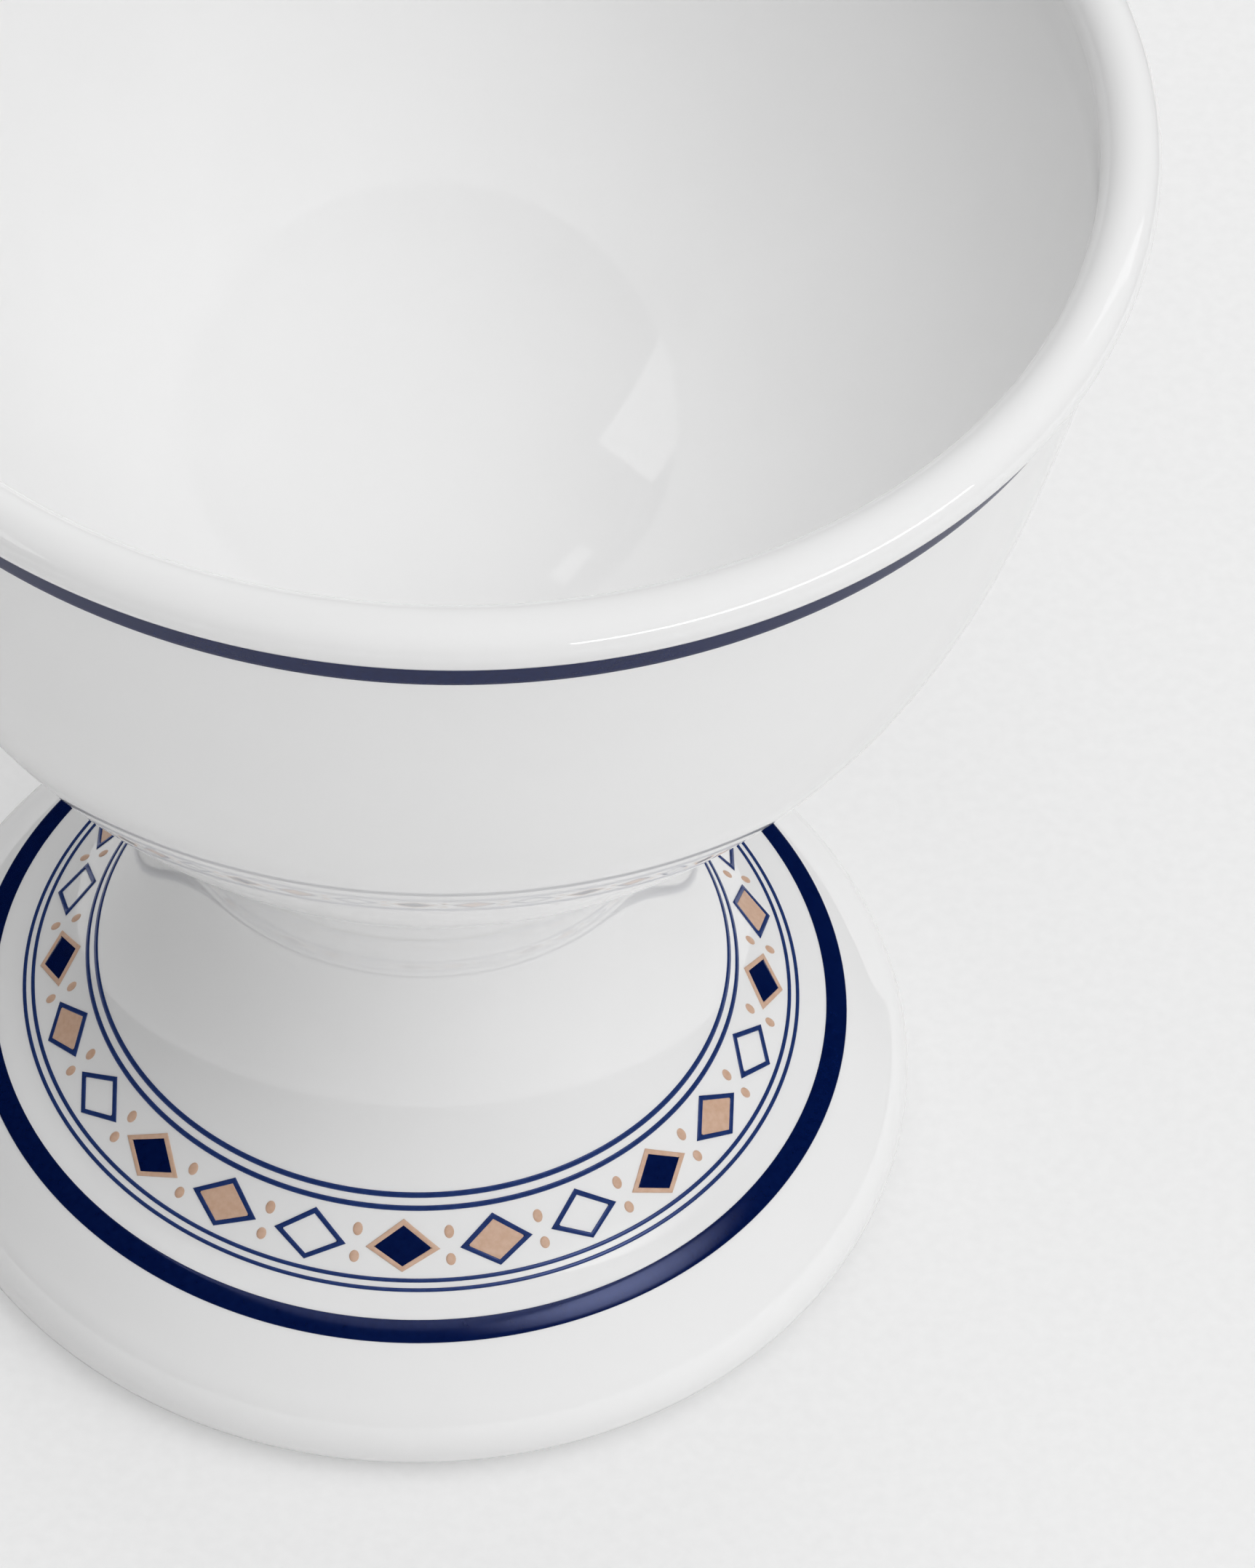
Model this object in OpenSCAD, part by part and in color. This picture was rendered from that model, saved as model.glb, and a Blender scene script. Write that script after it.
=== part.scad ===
// Footed egg cup in glazed porcelain.
// A deep bowl with a rounded lip is luted with slip to a waisted foot that flares to a broad brim.
// Thin fired enamel decorates it: a line under the lip, a band on the brim and a lozenge border.
// Z is up, and the origin lies on the table in the middle of the foot.

/* [Bowl] */
// Height of the bowl, from the top of the neck to the top of the lip
bowl_h = 30.6; // [27:0.1:34]
// Outside diameter of the lip
lip_d = 53.4; // [50:0.2:58]
// Thickness of the rounded lip
lip_t = 2.3; // [1.9:0.1:2.8]
// How far the lip stands out past the wall below it
lip_overhang = 0.7; // [0.4:0.05:1]
// Height of the lip's inner side, from the top down to the crease inside the bowl
lip_h = 3.3; // [2.6:0.1:4.2]
// How much wider the bowl is inside at that crease than at the lip
crease_set = 0.1; // [0.05:0.01:0.25]
// Height of the bowl's inner floor above the top of the neck
floor_rise = 0.1; // [0:0.1:2]
// Slope of the bowl's underside where it meets the neck, from level
base_slope = 44; // [40:1:48]
// Slope of the wall under the lip, from level
wall_slope = 79; // [76:1:84]
// Slope of the inner wall under the crease, from level
inner_slope = 78; // [74:1:82]

/* [Neck] */
// Diameter of the waist
waist_d = 19.6; // [18:0.2:22]
// Height of the waist above the table
waist_h = 18.6; // [17.5:0.1:20]
// Height of the neck, from the waist up to the bowl
neck_h = 8.8; // [8:0.1:10]
// How far the neck spreads from the waist to the bowl
neck_spread = 4.1; // [3.4:0.1:4.8]
// Height of the luted joint above the waist
seam_rise = 3.9; // [2:0.1:5]
// Thickness of the layer of slip in the joint
seam_t = 0.3; // [0.2:0.05:0.5]

/* [Foot] */
// Width of the flare, from the waist out to the brim's crest
flare_w = 6.8; // [6:0.1:8]
// Width of the brim, from its crest out to the foot's edge
brim_w = 4.15; // [3.6:0.05:5]
// Height of the brim's crest
crest_h = 6.6; // [6.2:0.1:7]
// Slope of the brim at its crest
crest_slope = 13; // [8:1:18]
// Radius of the foot's rounded edge
edge_r = 2.6; // [2.2:0.1:3]
// Slope where the brim meets the rounded edge
edge_slope = 42; // [36:1:48]
// Width of the bare standing ring that is ground flat
ring_w = 1.3; // [0.9:0.1:1.8]
// Height of the hollow under the foot
hollow_h = 12; // [8:0.5:13]
// Slope of the hollow's wall where it leaves the standing ring
hollow_slope = 66; // [58:1:74]

/* [Decoration] */
// Thickness of the fired enamel
enamel_t = 0.05; // [0.04:0.01:0.1]
// Width of the line that runs tight under the lip
rim_line_w = 1.15; // [0.6:0.05:1.6]
// Distance of the band from the foot's edge, seen from above
band_inset = 2.75; // [2.4:0.05:3]
// Width of the band
band_w = 0.87; // [0.6:0.01:1.1]
// Distance between the band and the lozenge border
border_gap = 1.13; // [0.8:0.01:1.5]
// Width of the border with its rings
border_w = 3.1; // [2.8:0.05:3.6]
// Width of each fine ring of the border
fine_w = 0.15; // [0.1:0.01:0.2]
// Distance between the two fine rings of a pair
pair_gap = 0.35; // [0.3:0.01:0.45]
// Clear space between a pair of rings and the lozenges
lozenge_gap = 0.22; // [0.15:0.01:0.3]
// Width of a lozenge along the border
lozenge_w = 3; // [2.4:0.05:3.3]
// Width of a lozenge's outline
outline_w = 0.17; // [0.12:0.01:0.22]
// Number of groups of three lozenges
groups = 8; // [6:1:8]
// Diameter of the dots between the lozenges
dot_d = 0.4; // [0.3:0.01:0.5]

/* [Hidden] */

// Kinds of lozenge in a group: navy, copper and white
kinds = 3;

// Steps along each curve of the section, round the lip's upper half and round each part of the foot's edge
curve_steps = 14;
lip_steps = 12;
edge_steps = 6;
// Round pieces cut from flat shapes
dot_facets = 32;

// Lengths of each curve's two handles, as shares of the straight distance between its ends
brim_shares = [0.4, 0.38];
flare_shares = [0.185, 0.51];
neck_shares = [0.4, 0.1];
wall_shares = [0.415, 0.385];
inner_shares = [0.46, 0.37];
hollow_shares = [0.28, 0.48];

porcelain = "#f3f2ee";
bisque = "#e6e0d4";
navy = "#121a38";
copper = "#d8b49c";

level = 0;
upright = 90;
inward = 180;
half_turn = 180;
full_turn = 360;

// Points and headings on a curve that leaves a at heading ha and reaches b at heading hb
function heading(angle) = [cos(angle), sin(angle)];
function handles(a, ha, b, hb, shares) =
    [a, a + norm(b - a) * shares[0] * heading(ha), b - norm(b - a) * shares[1] * heading(hb), b];
function bezier(p, t) =
    pow(1 - t, 3) * p[0] + 3 * t * pow(1 - t, 2) * p[1] + 3 * t * t * (1 - t) * p[2] + pow(t, 3) * p[3];
function bezier_way(p, t) =
    pow(1 - t, 2) * (p[1] - p[0]) + 2 * t * (1 - t) * (p[2] - p[1]) + t * t * (p[3] - p[2]);
function curve(p) = [for (i = [0:curve_steps]) bezier(p, i / curve_steps)];
function curve_ways(p) = [for (i = [0:curve_steps]) bezier_way(p, i / curve_steps)];
function arc(c, r, from, to, steps) = [for (i = [0:steps]) c + r * heading(from + (to - from) * i / steps)];
function tail(list) = [for (i = [1:len(list) - 1]) list[i]];
function reversed(list) = [for (i = [len(list) - 1:-1:0]) list[i]];

// The places that the section passes through
waist_r = waist_d / 2;
base_h = waist_h + neck_h;
cup_h = base_h + bowl_h;
lip_r = lip_d / 2;
bead_r = lip_t / 2;
bead_mid = [lip_r - bead_r, cup_h - bead_r];
bead_join = -acos((bead_r - lip_overhang) / bead_r);
wall_top = bead_mid + bead_r * heading(bead_join);
crease = [lip_r - lip_t + crease_set, cup_h - lip_h];
bowl_floor = [0, base_h + floor_rise];
base = [waist_r + neck_spread, base_h];
waist = [waist_r, waist_h];
crest = [waist_r + flare_w, crest_h];
foot_r = crest[0] + brim_w;
edge_mid = [foot_r - edge_r, edge_r];
edge_top = edge_mid + edge_r * heading(upright - edge_slope);
ring_in = [edge_mid[0] - ring_w, 0];
hollow_top = [0, hollow_h];
seam_h = waist_h + seam_rise;

// Curves of the section, from the edge of the foot up to the lip, and inside
brim_curve = handles(edge_top, inward - edge_slope, crest, inward - crest_slope, brim_shares);
flare_curve = handles(crest, inward - crest_slope, waist, upright, flare_shares);
neck_curve = handles(waist, upright, base, base_slope, neck_shares);
wall_curve = handles(base, base_slope, wall_top, wall_slope, wall_shares);
inner_curve = handles(crease, inner_slope - half_turn, bowl_floor, inward, inner_shares);
hollow_curve = handles(hollow_top, level, ring_in, -hollow_slope, hollow_shares);

section = concat(
    curve(hollow_curve),
    arc(edge_mid, edge_r, -upright, level, edge_steps),
    tail(arc(edge_mid, edge_r, level, upright - edge_slope, edge_steps)),
    tail(curve(brim_curve)), tail(curve(flare_curve)), tail(curve(neck_curve)), tail(curve(wall_curve)),
    tail(arc(bead_mid, bead_r, bead_join, level, lip_steps / 2)),
    tail(arc(bead_mid, bead_r, level, half_turn, lip_steps)),
    curve(inner_curve));

// Band and border, seen from above
band_r = foot_r - band_inset;
border_out_r = band_r - band_w - border_gap;
border_in_r = border_out_r - border_w;
pair_w = pair_gap + fine_w;
lozenge_in_r = border_in_r + pair_w + lozenge_gap;
lozenge_out_r = border_out_r - pair_w - lozenge_gap;
lozenge_mid_r = (lozenge_in_r + lozenge_out_r) / 2;
lozenge_l = lozenge_out_r - lozenge_in_r;
lozenge_pitch = full_turn / (groups * kinds);
dot_inset = dot_d;

// Full solid of the cup between two heights
module cup_slice(low, high) {
    rotate_extrude()
        intersection() {
            polygon(section);
            translate([0, low])
                square([lip_d, high - low]);
        }
}

// Section of the enamel that lies on a curve of the outside
module enamel_section(p) {
    points = curve(p);
    ways = curve_ways(p);
    outer = [for (i = [0:curve_steps])
        points[i] + enamel_t * [ways[i][1], -ways[i][0]] / norm(ways[i])];
    polygon(concat(points, reversed(outer)));
}

// Enamel on the flare and the brim between two radii
module foot_ring(r_in, r_out) {
    rotate_extrude()
        intersection() {
            union() {
                enamel_section(flare_curve);
                enamel_section(brim_curve);
            }
            translate([r_in, 0])
                square([r_out - r_in, cup_h]);
        }
}

// One lozenge seen from above, on the X axis, drawn in by inset on every side
module lozenge(inset) {
    half_l = lozenge_l / 2;
    half_w = lozenge_w / 2;
    side = norm([half_l, half_w]);
    keep_share = 1 - inset * side / (half_l * half_w);
    translate([lozenge_mid_r, 0])
        polygon(keep_share * [[half_l, 0], [0, half_w], [-half_l, 0], [0, -half_w]]);
}

// All lozenges of one kind, starting at the given one
module lozenge_set(first) {
    for (i = [0:groups - 1])
        rotate([0, 0, (kinds * i + first) * lozenge_pitch])
            children();
}

// Enamel on the foot in the shape of the given flat outlines
module foot_enamel() {
    intersection() {
        foot_ring(lozenge_in_r - lozenge_gap, lozenge_out_r + lozenge_gap);
        linear_extrude(height = waist_h)
            children();
    }
}

module lozenge_outline() {
    difference() {
        lozenge(0);
        lozenge(outline_w);
    }
}

// Upper part: bowl, rounded lip and the short neck under the bowl
module bowl() {
    color(porcelain)
        cup_slice(seam_h + seam_t / 2, cup_h);
}

// Lower part: waisted stem and flared foot, hollow below, on a bare standing ring
module foot() {
    color(porcelain)
        cup_slice(0, seam_h - seam_t / 2);
}

// Slip that joins the two cast parts, fired to one body with them
module slip_joint() {
    color(bisque)
        cup_slice(seam_h - seam_t / 2, seam_h + seam_t / 2);
}

// Line of enamel on the wall, tucked under the lip
module rim_line() {
    color(navy)
        rotate_extrude()
            intersection() {
                enamel_section(wall_curve);
                translate([0, wall_top[1] - rim_line_w])
                    square([lip_d, rim_line_w]);
            }
}

// Plain band of enamel near the edge of the brim
module foot_band() {
    color(navy)
        foot_ring(band_r - band_w, band_r);
}

// Two pairs of fine rings that frame the border
module border_rings() {
    color(navy)
        for (pair_r = [border_in_r, border_out_r - pair_w], r = [pair_r, pair_r + pair_gap])
            foot_ring(r, r + fine_w);
}

module navy_lozenges() {
    color(navy)
        foot_enamel()
            lozenge_set(0)
                lozenge(outline_w);
}

module copper_lozenges() {
    color(copper)
        foot_enamel()
            lozenge_set(1)
                lozenge(outline_w);
}

// Outlines of the copper lozenges and of the white ones
module navy_outlines() {
    color(navy)
        foot_enamel()
            for (first = [1, 2])
                lozenge_set(first)
                    lozenge_outline();
}

// Outlines of the navy lozenges
module copper_outlines() {
    color(copper)
        foot_enamel()
            lozenge_set(0)
                lozenge_outline();
}

// A dot in each notch between two lozenges, inside and outside
module copper_dots() {
    color(copper)
        foot_enamel()
            for (i = [0:kinds * groups - 1], r = [lozenge_in_r + dot_inset, lozenge_out_r - dot_inset])
                rotate([0, 0, (i + 0.5) * lozenge_pitch])
                    translate([r, 0])
                        circle(d = dot_d, $fn = dot_facets);
}

bowl();
foot();
slip_joint();
rim_line();
foot_band();
border_rings();
navy_lozenges();
copper_lozenges();
navy_outlines();
copper_outlines();
copper_dots();
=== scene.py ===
import math

import bmesh
import bpy
from mathutils import Matrix, Vector, geometry


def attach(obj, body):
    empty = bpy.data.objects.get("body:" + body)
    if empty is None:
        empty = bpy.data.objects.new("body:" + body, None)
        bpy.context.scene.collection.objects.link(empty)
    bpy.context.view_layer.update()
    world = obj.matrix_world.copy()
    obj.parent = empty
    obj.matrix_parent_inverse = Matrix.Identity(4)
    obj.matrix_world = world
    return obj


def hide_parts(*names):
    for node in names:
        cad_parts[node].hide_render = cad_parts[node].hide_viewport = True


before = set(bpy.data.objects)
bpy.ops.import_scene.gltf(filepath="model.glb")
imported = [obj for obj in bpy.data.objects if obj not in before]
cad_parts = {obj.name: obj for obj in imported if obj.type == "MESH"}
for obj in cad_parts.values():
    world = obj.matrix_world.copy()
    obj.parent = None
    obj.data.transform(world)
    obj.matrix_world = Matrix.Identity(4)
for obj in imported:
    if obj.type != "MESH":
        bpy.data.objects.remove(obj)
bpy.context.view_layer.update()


# Camera
# A long lens looks down on the cup from about 49 degrees. It stands so close that the picture
# crops the left and the far side of the bowl, as the photograph does.
MM = 0.001

yaw, pitch, roll = math.radians(2.08), math.radians(49.12), math.radians(3.48)
ahead = Vector((math.sin(yaw) * math.cos(pitch), math.cos(yaw) * math.cos(pitch), -math.sin(pitch)))
aside = Vector((math.cos(yaw), -math.sin(yaw), 0))
turned = Matrix((aside, aside.cross(ahead), -ahead)).transposed().to_4x4()
lens = bpy.data.cameras.new("camera")
lens.sensor_fit = "AUTO"
lens.sensor_width = 36
lens.lens = 201.91
lens.clip_start = 0.01
lens.clip_end = 20
camera = bpy.data.objects.new("camera", lens)
stands_at = Matrix.Translation((0, -230.85 * MM, 286.7 * MM))
camera.matrix_world = stands_at @ turned @ Matrix.Rotation(roll, 4, "Z")
bpy.context.collection.objects.link(camera)
bpy.context.scene.camera = camera


# Bowl
# The upper clay piece: a deep thin-walled cup with a rounded lip and the upper half of the neck.
# It is porcelain cast in a plaster mould, fired to biscuit, dipped in clear glaze and fired again,
# so it is white, very smooth and lets a little light in below its skin.
def heading(degrees):
    """The direction at an angle from level, in the plane of radius and height."""
    return Vector((math.cos(math.radians(degrees)), math.sin(math.radians(degrees))))


def curve(start, leaves, end, arrives, shares, steps=40):
    """Points of the section in mm, on a curve that leaves start and reaches end at these headings."""
    reach = (end - start).length
    handles = start + heading(leaves) * reach * shares[0], end - heading(arrives) * reach * shares[1]
    return geometry.interpolate_bezier(start, *handles, end, steps + 1)


def arc(centre, radius, first, last, steps=16):
    """Points of the section in mm, on part of a circle."""
    return [centre + heading(first + (last - first) * i / steps) * radius for i in range(steps + 1)]


def between(line, low, high, axis):
    """The stretch of a line of the section between two radii (axis 0) or heights (axis 1)."""
    cuts = [a.lerp(b, (limit - a[axis]) / (b[axis] - a[axis]))
            for a, b in zip(line, line[1:]) for limit in (low, high)
            if min(a[axis], b[axis]) < limit < max(a[axis], b[axis])]
    return sorted(cuts + [p for p in line if low <= p[axis] <= high], key=lambda p: p[axis])


CORNER = math.radians(60)


def add_piece(name, shape, slot, replaced, *finishes):
    """Makes a bmesh the piece that stands for a CAD node, smooth but for corners, with its finishes."""
    mesh = bpy.data.meshes.new(name)
    shape.to_mesh(mesh)
    shape.free()
    mesh.shade_smooth()
    mesh.set_sharp_from_angle(angle=CORNER)
    for finish in finishes:
        mesh.materials.append(finish)
    piece = bpy.data.objects.new(name, mesh)
    bpy.context.collection.objects.link(piece)
    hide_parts(replaced)
    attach(piece, "root")
    return piece


def repeat_round(shape, count, first=0):
    """Turns the shapes by first and repeats them until there are this many round the axis."""
    bmesh.ops.rotate(shape, verts=shape.verts[:], cent=(0, 0, 0), matrix=Matrix.Rotation(first, 3, "Z"))
    bmesh.ops.spin(shape, geom=shape.verts[:] + shape.edges[:] + shape.faces[:], cent=(0, 0, 0),
                   axis=(0, 0, 1), dvec=(0, 0, 0), angle=math.tau * (count - 1) / count, steps=count - 1,
                   use_duplicate=True)


WHEEL_SLICES, STEPS_PER_SLICE = 24, 12
WELD = 0.0002


def turn_on_wheel(*outlines):
    """Spins outlines of points in mm, radius and height, into a slice that is repeated all round."""
    shape = bmesh.new()
    for outline in outlines:
        points = [shape.verts.new((p[0] * MM, 0, p[1] * MM)) for p in outline]
        ends = points[1:] if outline[0][0] == 0 else points[1:] + points[:1]
        for pair in zip(points, ends):
            shape.edges.new(pair)
    bmesh.ops.spin(shape, geom=shape.verts[:] + shape.edges[:], cent=(0, 0, 0), axis=(0, 0, 1),
                   dvec=(0, 0, 0), angle=math.tau / WHEEL_SLICES, steps=STEPS_PER_SLICE)
    repeat_round(shape, WHEEL_SLICES)
    bmesh.ops.remove_doubles(shape, verts=shape.verts[:], dist=WELD * MM)
    bmesh.ops.recalc_face_normals(shape, faces=shape.faces[:])
    return shape


def linear(hex_colour):
    """The linear colour of an sRGB hex value."""
    parts = [int(hex_colour[i:i + 2], 16) / 255 for i in (1, 3, 5)]
    return *[v / 12.92 if v <= 0.04045 else ((v + 0.055) / 1.055) ** 2.4 for v in parts], 1


def add_node(tree, kind, inputs, **settings):
    """Adds a node with its settings, and sets each input to a value or links it to an output."""
    node = tree.nodes.new(kind)
    for setting, value in settings.items():
        setattr(node, setting, value)
    for socket, value in inputs.items():
        if isinstance(value, bpy.types.NodeSocket):
            tree.links.new(value, node.inputs[socket])
        else:
            node.inputs[socket].default_value = value
    return node


def new_finish(name):
    """A material with an empty node tree, and its Object coordinates."""
    finish = bpy.data.materials.new(name)
    finish.use_nodes = True
    finish.node_tree.nodes.clear()
    return finish, finish.node_tree, add_node(finish.node_tree, "ShaderNodeTexCoord", {}).outputs["Object"]


def patches(tree, place, size_mm, first, second, detail=2):
    """A colour that drifts between two tones in soft patches of this size."""
    cloud = add_node(tree, "ShaderNodeTexNoise",
                     {"Vector": place, "Scale": 1 / (size_mm * MM), "Detail": detail, "Roughness": 0.5})
    ramp = add_node(tree, "ShaderNodeValToRGB", {"Fac": cloud.outputs["Fac"]})
    for stop, position, tone in zip(ramp.color_ramp.elements, (0.3, 0.7), (first, second)):
        stop.position = position
        stop.color = linear(tone)
    return ramp.outputs["Color"]


def ripple(tree, place, size_mm, depth_mm, base=None, detail=0):
    """A bump of this wavelength and depth, on top of another one if that is given."""
    cloud = add_node(tree, "ShaderNodeTexNoise",
                     {"Vector": place, "Scale": 1 / (size_mm * MM), "Detail": detail, "Roughness": 0.5})
    inputs = {"Height": cloud.outputs["Fac"], "Strength": 1, "Distance": depth_mm * MM}
    if base:
        inputs["Normal"] = base
    return add_node(tree, "ShaderNodeBump", inputs).outputs["Normal"]


def finish_with(tree, **inputs):
    """Ends a material in a Principled shader with these inputs, named with _ for each space."""
    skin = add_node(tree, "ShaderNodeBsdfPrincipled", {k.replace("_", " "): v for k, v in inputs.items()})
    add_node(tree, "ShaderNodeOutputMaterial", {"Surface": skin.outputs["BSDF"]})


# The glaze has pooled in soft swells a few millimetres apart, which bend reflections slightly.
glazed_porcelain, tree, place = new_finish("clear_glaze_on_porcelain")
finish_with(tree,
            Base_Color=patches(tree, place, 9, "#f5f5f5", "#f3f3f3"),
            Roughness=0.04, IOR=1.52,
            Subsurface_Weight=0.15, Subsurface_Radius=(1, 1, 1), Subsurface_Scale=0.4 * MM,
            Normal=ripple(tree, place, 5, 0.003))

waist, base = Vector((9.8, 18.6)), Vector((13.9, 27.4))
bead_mid, bead_r, bead_join = Vector((25.55, 56.85)), 1.15, -66.97
wall_top = bead_mid + heading(bead_join) * bead_r
crease, bowl_floor = Vector((24.5, 54.7)), Vector((0, 27.5))
slip_top = 22.65

neck_line = curve(waist, 90, base, 44, (0.4, 0.1))
wall_line = curve(base, 44, wall_top, 79, (0.415, 0.385), 60)
lip_line = arc(bead_mid, bead_r, bead_join, 0, 10)[1:] + arc(bead_mid, bead_r, 0, 180, 24)[1:]
inner_line = curve(crease, -102, bowl_floor, 180, (0.46, 0.37), 60)

shape = turn_on_wheel([Vector((0, slip_top))] + between(neck_line, slip_top, base.y, 1) + wall_line[1:]
                      + lip_line + inner_line)
bowl = add_piece("bowl_piece", shape, "glazed_porcelain", "bowl", glazed_porcelain)


# Foot
# The lower clay piece: a waisted stem that flares to a broad brim with a rounded edge, hollow
# underneath. Its standing ring is wiped clean of glaze before firing and ground flat after it.
hollow_top, ring_in, ring_out = Vector((0, 12)), Vector((16.85, 0)), 18.15
edge_mid, edge_r, edge_end = Vector((ring_out, 2.6)), 2.6, 48
crest = Vector((16.6, 6.6))
slip_bottom = 22.35

hollow_line = curve(hollow_top, 0, ring_in, -66, (0.28, 0.48))
edge_line = arc(edge_mid, edge_r, -90, 0, 16) + arc(edge_mid, edge_r, 0, edge_end, 12)[1:]
brim_line = curve(edge_line[-1], 138, crest, 167, (0.4, 0.38))
flare_line = curve(crest, 167, waist, 90, (0.185, 0.51), 60)

shape = turn_on_wheel(hollow_line + edge_line + brim_line[1:] + flare_line[1:]
                      + between(neck_line, waist.y, slip_bottom, 1)[1:] + [Vector((0, slip_bottom))])
ground_below = 0.001
for face in shape.faces:
    if face.calc_center_median().z < ground_below * MM:
        face.material_index = 1

# Bare porcelain is dry and matt, off white, with the fine grain that grinding leaves.
biscuit, tree, place = new_finish("ground_biscuit_porcelain")
finish_with(tree,
            Base_Color=patches(tree, place, 0.4, "#ece6da", "#dfd7c8"),
            Roughness=0.85, IOR=1.5,
            Normal=ripple(tree, place, 0.15, 0.01, detail=3))
add_piece("foot_piece", shape, "glazed_porcelain", "foot", glazed_porcelain, biscuit)


# Slip joint
# The layer of liquid clay that joins the two pieces. It is wiped flush before firing and lies
# under the same glaze, so it hardly shows.
shape = turn_on_wheel([Vector((0, slip_bottom))] + between(neck_line, slip_bottom, slip_top, 1)
                      + [Vector((0, slip_top))])

# Glaze on slip looks like glaze on porcelain, but for a trace of warmth in its white.
glazed_slip, tree, place = new_finish("clear_glaze_on_slip")
finish_with(tree,
            Base_Color=patches(tree, place, 2, "#f4f4f3", "#f2f2f1"),
            Roughness=0.04, IOR=1.52,
            Subsurface_Weight=0.15, Subsurface_Radius=(1, 1, 1), Subsurface_Scale=0.4 * MM,
            Normal=ripple(tree, place, 5, 0.003))
add_piece("slip_joint_piece", shape, "fired_slip", "slip_joint", glazed_slip)


# Rim line
# A line of navy enamel, banded on with a brush on the wheel and fired onto the glaze. It runs
# tight under the lip. The enamel is a twentieth of a millimetre thick, with melted edges.
ENAMEL_RISE, ENAMEL_SINK, ENAMEL_MELT = 0.045, 0.005, 0.05


def place_on(line, value, axis):
    """The point of a line of the section at this radius or height, and the way out of the clay."""
    for a, b in zip(line, line[1:]):
        if min(a[axis], b[axis]) <= value <= max(a[axis], b[axis]):
            way = (b - a).normalized()
            return a.lerp(b, (value - a[axis]) / (b[axis] - a[axis])), Vector((way.y, -way.x))
    raise ValueError("the line does not reach there")


def enamel_section(line, low, high, axis):
    """The section of enamel on a line between two radii or heights, thin and round at its edges."""
    melt = [ENAMEL_MELT * share for share in (0, 0.04, 0.15, 0.35, 0.65, 1)]
    flat = [low + melt[-1] + (high - low - 2 * melt[-1]) * i / 6 for i in range(1, 6)]
    over, under = [], []
    for value in [low + m for m in melt] + flat + [high - m for m in reversed(melt)]:
        point, out = place_on(line, value, axis)
        edge = min(value - low, high - value, ENAMEL_MELT) / ENAMEL_MELT
        over.append(point + out * ENAMEL_RISE * math.sqrt(max(0, 1 - (1 - edge) ** 2)))
        under.append(point - out * ENAMEL_SINK)
    return over + under[::-1]


# It has the colour of the band on the foot, but is set to shine less: with the band's shine it would
# mirror more of the floor at this slant than the photograph shows.
line_enamel, tree, place = new_finish("thin_fired_navy_enamel")
finish_with(tree,
            Base_Color=patches(tree, place, 0.3, "#021140", "#051748", 3),
            Roughness=0.12, IOR=1.45, Specular_IOR_Level=0.3, Specular_Tint=linear("#c2cdff"),
            Normal=ripple(tree, place, 0.12, 0.0006, ripple(tree, place, 0.8, 0.002)))

line_width, gap_to_lip = 1.15, 0.001
shape = turn_on_wheel(enamel_section(wall_line, wall_top.y - line_width, wall_top.y - gap_to_lip, 1))
add_piece("rim_line_piece", shape, "navy_enamel", "rim_line", line_enamel)


# Foot band
# A plain band of navy enamel, drawn with a brush on the wheel round the brim of the foot near its
# edge, and fired onto the glaze.
band_inner, band_outer = 17.13, 18.0

# It is set to mirror more than the glaze does, with a blue cast, as in the photograph, but less
# sharply: brushed on, the enamel keeps faint streaks and grain.
navy_enamel, tree, place = new_finish("fired_navy_enamel")
finish_with(tree,
            Base_Color=patches(tree, place, 0.3, "#021140", "#051748", 3),
            Roughness=0.12, IOR=1.75, Specular_Tint=linear("#c2cdff"),
            Normal=ripple(tree, place, 0.12, 0.0006, ripple(tree, place, 0.8, 0.002)))

foot_line = brim_line + flare_line[1:]
shape = turn_on_wheel(enamel_section(foot_line, band_inner, band_outer, 0))
add_piece("foot_band_piece", shape, "navy_enamel", "foot_band", navy_enamel)


# Border rings
# Two pairs of hair-thin navy rings frame the border. They come from a printed sheet that is slid
# onto the glaze wet and fired, as all of the border does.
ring_width, ring_starts = 0.15, (12.9, 13.25, 15.5, 15.85)

# The rings are a lighter blue than the band, like a thin print that lets some of the white through.
printed_enamel, tree, place = new_finish("printed_navy_enamel")
finish_with(tree,
            Base_Color=patches(tree, place, 0.3, "#1c3168", "#263c74", 3),
            Roughness=0.2, IOR=1.8, Specular_Tint=linear("#c2cdff"),
            Normal=ripple(tree, place, 0.12, 0.0006))

shape = turn_on_wheel(*[enamel_section(foot_line, ring_r, ring_r + ring_width, 0)
                        for ring_r in ring_starts])
add_piece("border_rings_piece", shape, "navy_enamel", "border_rings", printed_enamel)


# Navy lozenges
# Every third lozenge of the border is a field of navy enamel, as dark as the band. It is part of the
# same printed sheet as the rings, and is fired onto the glaze with them.
GROUPS, PITCH = 8, math.tau / 24
LOZENGE_R, HALF_L, HALF_W, OUTLINE_W = 14.45, 0.83, 1.5, 0.17
FIELD_OVERLAP, FIELD_LOWER, RIM_MELT, TOO_SHORT = 0.02, 0.012, 0.03, 0.0005
SIDE = math.hypot(HALF_L, HALF_W)


def add_lozenge(shape, inset):
    """Adds a flat lozenge on the X axis, in squares, drawn in by inset mm on every side."""
    keep = 1 - inset * SIDE / (HALF_L * HALF_W)
    place = (Matrix.Translation((LOZENGE_R * MM, 0, 0))
             @ Matrix.Diagonal((HALF_L * MM * keep, HALF_W * MM * keep, 1, 1))
             @ Matrix.Rotation(math.tau / 8, 4, "Z"))
    bmesh.ops.create_grid(shape, x_segments=8, y_segments=8, size=math.sqrt(0.5), matrix=place)


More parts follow.
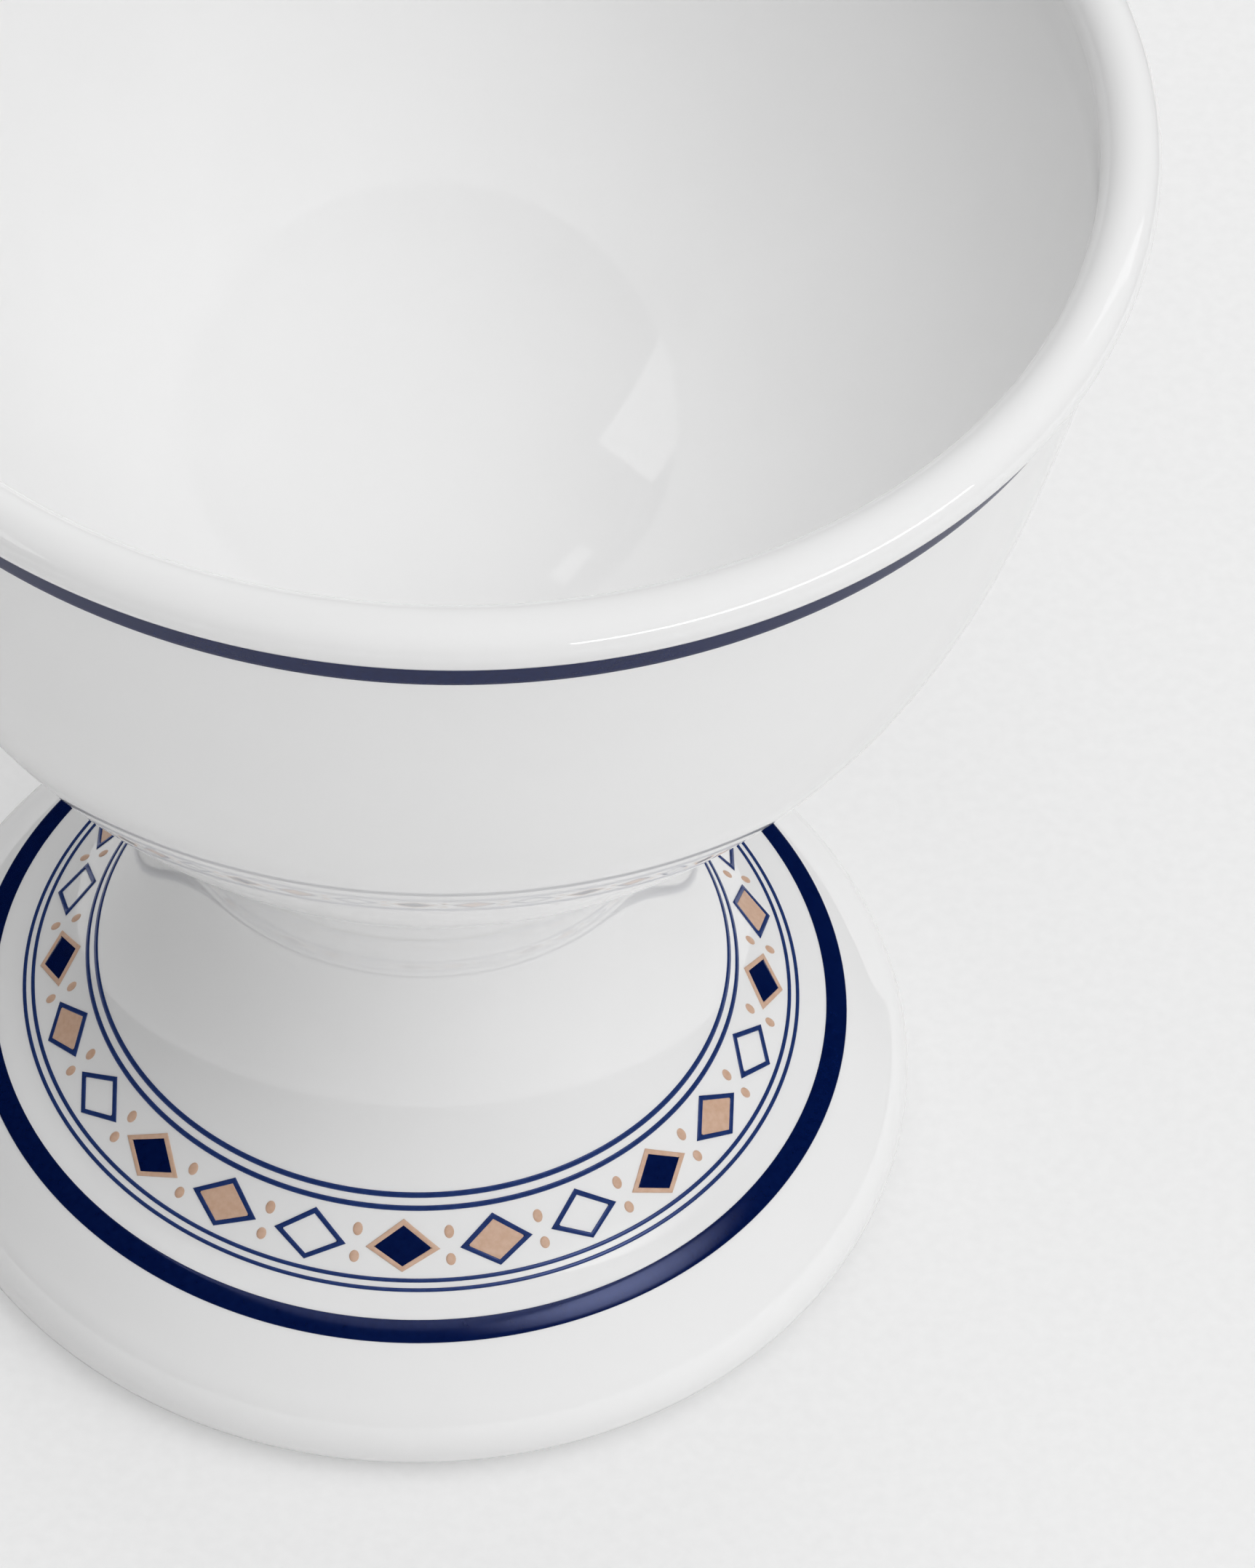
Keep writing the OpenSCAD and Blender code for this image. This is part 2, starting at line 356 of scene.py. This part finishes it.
def raise_enamel(shape, rise):
    """Gives flat shapes the enamel's thickness and melts their upper edges."""
    bmesh.ops.recalc_face_normals(shape, faces=shape.faces[:])
    bmesh.ops.solidify(shape, geom=shape.faces[:], thickness=(rise + ENAMEL_SINK) * MM)
    lowest = min(v.co.z for v in shape.verts)
    bmesh.ops.translate(shape, verts=shape.verts[:], vec=(0, 0, -lowest - ENAMEL_SINK * MM))
    rims = [e for e in shape.edges if len(e.link_faces) == 2 and e.calc_face_angle() > 1
            and all(v.co.z > rise * MM / 2 for v in e.verts)]
    bmesh.ops.bevel(shape, geom=rims, offset=RIM_MELT * MM, offset_type="OFFSET", affect="EDGES", segments=2,
                    profile=0.5, material=-1, clamp_overlap=True)
    bmesh.ops.dissolve_degenerate(shape, edges=shape.edges[:], dist=TOO_SHORT * MM)


def lay_on_foot(shape):
    """Lays flat shapes on the foot: radius stays, and height becomes height above the glaze."""
    for vert in shape.verts:
        radius = math.hypot(vert.co.x, vert.co.y)
        point, out = place_on(foot_line, radius / MM, 0)
        spot = point * MM + out * vert.co.z
        vert.co = (vert.co.x * spot.x / radius, vert.co.y * spot.x / radius, spot.y)


def lozenge_field():
    """A lozenge field on the X axis. It reaches a little way under its outline."""
    field = bmesh.new()
    add_lozenge(field, OUTLINE_W - FIELD_OVERLAP)
    raise_enamel(field, ENAMEL_RISE - FIELD_LOWER)
    lay_on_foot(field)
    return field


shape = lozenge_field()
repeat_round(shape, GROUPS)
add_piece("navy_lozenges_piece", shape, "navy_enamel", "navy_lozenges", navy_enamel)


# Copper lozenges
# The next lozenge of each group is a field of copper-coloured enamel, printed and fired with the
# rest of the border.

# It is less glossy than the navy enamel: its rougher skin spreads reflections into a satin sheen.
copper_enamel, tree, place = new_finish("fired_copper_enamel")
finish_with(tree,
            Base_Color=patches(tree, place, 0.25, "#d9b7a0", "#cfa98f", 3),
            Roughness=0.38, IOR=1.5,
            Normal=ripple(tree, place, 0.1, 0.001, detail=2))
shape = lozenge_field()
repeat_round(shape, GROUPS, PITCH)
add_piece("copper_lozenges_piece", shape, "copper_enamel", "copper_lozenges", copper_enamel)


# Navy outlines
# Fine lines of navy enamel close the copper lozenges and the white ones. They are printed and fired
# with the rest of the border.
def lozenge_outline():
    """A lozenge's outline on the X axis."""
    outline = bmesh.new()
    add_lozenge(outline, 0)
    inner = outline.faces[:]
    bmesh.ops.inset_region(outline, faces=inner, use_boundary=True, use_even_offset=True,
                           thickness=OUTLINE_W * MM, depth=0)
    bmesh.ops.delete(outline, geom=inner, context="FACES")
    raise_enamel(outline, ENAMEL_RISE)
    lay_on_foot(outline)
    return outline


shape = lozenge_outline()
more = lozenge_outline()
repeat_round(shape, GROUPS, PITCH)
repeat_round(more, GROUPS, 2 * PITCH)
spare = bpy.data.meshes.new("spare")
more.to_mesh(spare)
more.free()
shape.from_mesh(spare)
bpy.data.meshes.remove(spare)
add_piece("navy_outlines_piece", shape, "navy_enamel", "navy_outlines", printed_enamel)


# Copper outlines
# Fine lines of copper-coloured enamel close the navy lozenges. They are printed and fired with the
# rest of the border.
shape = lozenge_outline()
repeat_round(shape, GROUPS)
add_piece("copper_outlines_piece", shape, "copper_enamel", "copper_outlines", copper_enamel)


# Copper dots
# A small drop of copper-coloured enamel sits in each notch between two lozenges, inside and outside.
# The dots are printed and fired with the rest of the border.
dot_size, dot_radii = 0.2, (14.02, 14.88)
shape = bmesh.new()
for dot_r in dot_radii:
    bmesh.ops.create_uvsphere(shape, u_segments=16, v_segments=8, radius=1,
                              matrix=Matrix.Translation((dot_r * MM, 0, 0))
                              @ Matrix.Diagonal((dot_size * MM, dot_size * MM, ENAMEL_RISE * MM, 1)))
bmesh.ops.bisect_plane(shape, geom=shape.verts[:] + shape.edges[:] + shape.faces[:],
                       plane_co=(0, 0, -ENAMEL_SINK * MM), plane_no=(0, 0, 1), clear_inner=True)
bmesh.ops.holes_fill(shape, edges=shape.edges[:])
lay_on_foot(shape)
repeat_round(shape, 3 * GROUPS, PITCH / 2)
add_piece("copper_dots_piece", shape, "copper_enamel", "copper_dots", copper_enamel)


# Floor
# A wide sheet of pale matt paper. The camera sees it partly as its plain colour, so the cup's shadow
# is faint. For glossy rays only, its colour is painted dark grey from near the cup outwards: a painted dark
# reflection.
dark_reflection_begins, dark_reflection_full, plain_share = 150 * MM, 170 * MM, 0.4
shape = bmesh.new()
bmesh.ops.create_grid(shape, x_segments=1, y_segments=1, size=4)
mesh = bpy.data.meshes.new("floor")
shape.to_mesh(mesh)
shape.free()

# Paper scatters light evenly, so it has no shine, only faint changes of tone.
paper, tree, place = new_finish("matt_white_paper")
path = add_node(tree, "ShaderNodeLightPath", {})
# For glossy rays only, the paper's colour is painted dark grey from this distance out: a painted dark
# reflection in the glaze.
away = add_node(tree, "ShaderNodeVectorMath", {0: place}, operation="LENGTH")
painted_dark_reflection_mask = add_node(tree, "ShaderNodeMapRange",
                {"Value": away.outputs["Value"], "From Min": dark_reflection_begins, "From Max": dark_reflection_full})
painted_dark_reflection_mask = add_node(tree, "ShaderNodeMath", {0: painted_dark_reflection_mask.outputs[0], 1: path.outputs["Is Glossy Ray"]},
                operation="MULTIPLY")
sheet = patches(tree, place, 0.6, "#f2f2f2", "#efefef", 3)
tone = add_node(tree, "ShaderNodeMix",
                {"Factor": painted_dark_reflection_mask.outputs[0], "A": sheet, "B": linear("#404040")}, data_type="RGBA")
matt = add_node(tree, "ShaderNodeBsdfDiffuse", {"Color": tone.outputs["Result"]})
plain = add_node(tree, "ShaderNodeEmission", {"Color": sheet})
share = add_node(tree, "ShaderNodeMath", {0: path.outputs["Is Camera Ray"], 1: plain_share},
                 operation="MULTIPLY")
both = add_node(tree, "ShaderNodeMixShader", {0: share.outputs[0], 1: matt.outputs[0], 2: plain.outputs[0]})
add_node(tree, "ShaderNodeOutputMaterial", {"Surface": both.outputs[0]})
mesh.materials.append(paper)
floor = bpy.data.objects.new("floor", mesh)
bpy.context.collection.objects.link(floor)


# Light
# The room lights the cup softly: most from above and in front at the right, some from low behind
# and from the right. The lamps show only as reflections in the glaze and the enamel.
def toward(turned_to, raised):
    """The direction at this angle from the back, clockwise from above, and this angle from level."""
    level = math.cos(math.radians(raised))
    return Vector((math.sin(math.radians(turned_to)) * level, math.cos(math.radians(turned_to)) * level,
                   math.sin(math.radians(raised))))


LAMP_DISTANCE, AIM_HEIGHT = 800 * MM, 40 * MM


def add_panel(name, turned_to, raised, width, height, radiance, lean=0):
    """A lamp that faces the cup from this direction, its size and lean given in degrees."""
    way = toward(turned_to, raised)
    lamp = bpy.data.lights.new(name, "AREA")
    lamp.shape = "RECTANGLE"
    lamp.size, lamp.size_y = [2 * LAMP_DISTANCE * math.tan(math.radians(angle / 2))
                              for angle in (width, height)]
    lamp.energy = radiance * math.pi * lamp.size * lamp.size_y
    panel = bpy.data.objects.new(name, lamp)
    aim = (-way).to_track_quat("-Z", "Y").to_matrix().to_4x4()
    panel.matrix_world = (Matrix.Translation(Vector((0, 0, AIM_HEIGHT)) + way * LAMP_DISTANCE) @ aim
                          @ Matrix.Rotation(math.radians(lean), 4, "Z"))
    panel.visible_diffuse = False
    bpy.context.collection.objects.link(panel)
    return panel


# An overhead softbox mirrors in the enamel. Its cloth is brightest in the middle and fades out
# towards its edges, at distances that are shares of its width.
softbox = add_panel("overhead_softbox", 98, 66, 42, 42, 2.8)
edge, core = 0.5, 0.02
softbox.data.use_nodes = True
cloth = softbox.data.node_tree
cloth.nodes.clear()
spot = add_node(cloth, "ShaderNodeNewGeometry", {}).outputs["Parametric"]
spot = add_node(cloth, "ShaderNodeVectorMath", {0: spot, 1: (0.5, 0.5, 0)}, operation="DISTANCE")
fade = add_node(cloth, "ShaderNodeMapRange",
                {"Value": spot.outputs["Value"], "From Min": edge, "From Max": core},
                interpolation_type="SMOOTHSTEP")
shine = add_node(cloth, "ShaderNodeEmission", {"Strength": fade.outputs[0]})
add_node(cloth, "ShaderNodeOutputLight", {"Surface": shine.outputs[0]})

# In the bowl mirror a leaning panel at the left with a wider head, a strip at the back right, a small
# high lamp, and a low strip that draws the line along the lip.
bowl_lamps = [add_panel("left_panel", -118, 17, 8, 32, 1.3, 32),
              add_panel("left_panel_head", -98, 39, 17, 27, 1.3, 32),
              add_panel("back_right_strip", 57, 28, 8, 27, 1.1, -9),
              add_panel("high_lamp", -47, 55, 9, 4, 1),
              add_panel("lip_strip", 131, 10, 60, 5, 9, 10)]

# Flags keep the softbox's light off the bowl, and the light of the other lamps off all but the bowl.
in_lamps = bpy.data.collections.new("lit_by_the_bowl_lamps")
in_lamps.objects.link(bowl)
for lamp in bowl_lamps:
    lamp.light_linking.receiver_collection = in_lamps
off_softbox = bpy.data.collections.new("not_lit_by_the_softbox")
off_softbox.objects.link(bowl)
off_softbox.collection_objects[0].light_linking.link_state = "EXCLUDE"
softbox.light_linking.receiver_collection = off_softbox

# The room gives the soft light, strongest from these directions. It isn't mirrored: the lamps are.
world = bpy.data.worlds.new("room")
bpy.context.scene.world = world
world.use_nodes = True
world.cycles_visibility.glossy = False
room = world.node_tree
room.nodes.clear()
path = add_node(room, "ShaderNodeLightPath", {})
look = add_node(room, "ShaderNodeTexCoord", {}).outputs["Generated"]
glow = 0.02
for way, strength, tightness in (
        (toward(144, 64), 2.55, 8), (toward(-72, 64), 0.6, 8), (toward(0, 90), 0.5, 8),
        (toward(0, 12), 1.95, 8), (toward(45, 12), 0.4, 8), (toward(128, 18), 1.25, 6),
        (toward(-130, 8), 0.12, 4)):
    lobe = add_node(room, "ShaderNodeVectorMath", {0: look, 1: way}, operation="DOT_PRODUCT")
    lobe = add_node(room, "ShaderNodeMath", {0: lobe.outputs["Value"], 1: 0}, operation="MAXIMUM")
    lobe = add_node(room, "ShaderNodeMath", {0: lobe.outputs[0], 1: tightness}, operation="POWER")
    glow = add_node(room, "ShaderNodeMath", {0: lobe.outputs[0], 1: strength, 2: glow},
                    operation="MULTIPLY_ADD").outputs[0]
fill = add_node(room, "ShaderNodeBackground", {"Color": (1, 1, 1, 1), "Strength": glow})
pale = add_node(room, "ShaderNodeBackground", {"Color": linear("#eeeeee"), "Strength": 1})
seen = add_node(room, "ShaderNodeMixShader",
                {0: path.outputs["Is Camera Ray"], 1: fill.outputs[0], 2: pale.outputs[0]})
add_node(room, "ShaderNodeOutputWorld", {"Surface": seen.outputs[0]})
bpy.context.scene.view_settings.view_transform = "Standard"
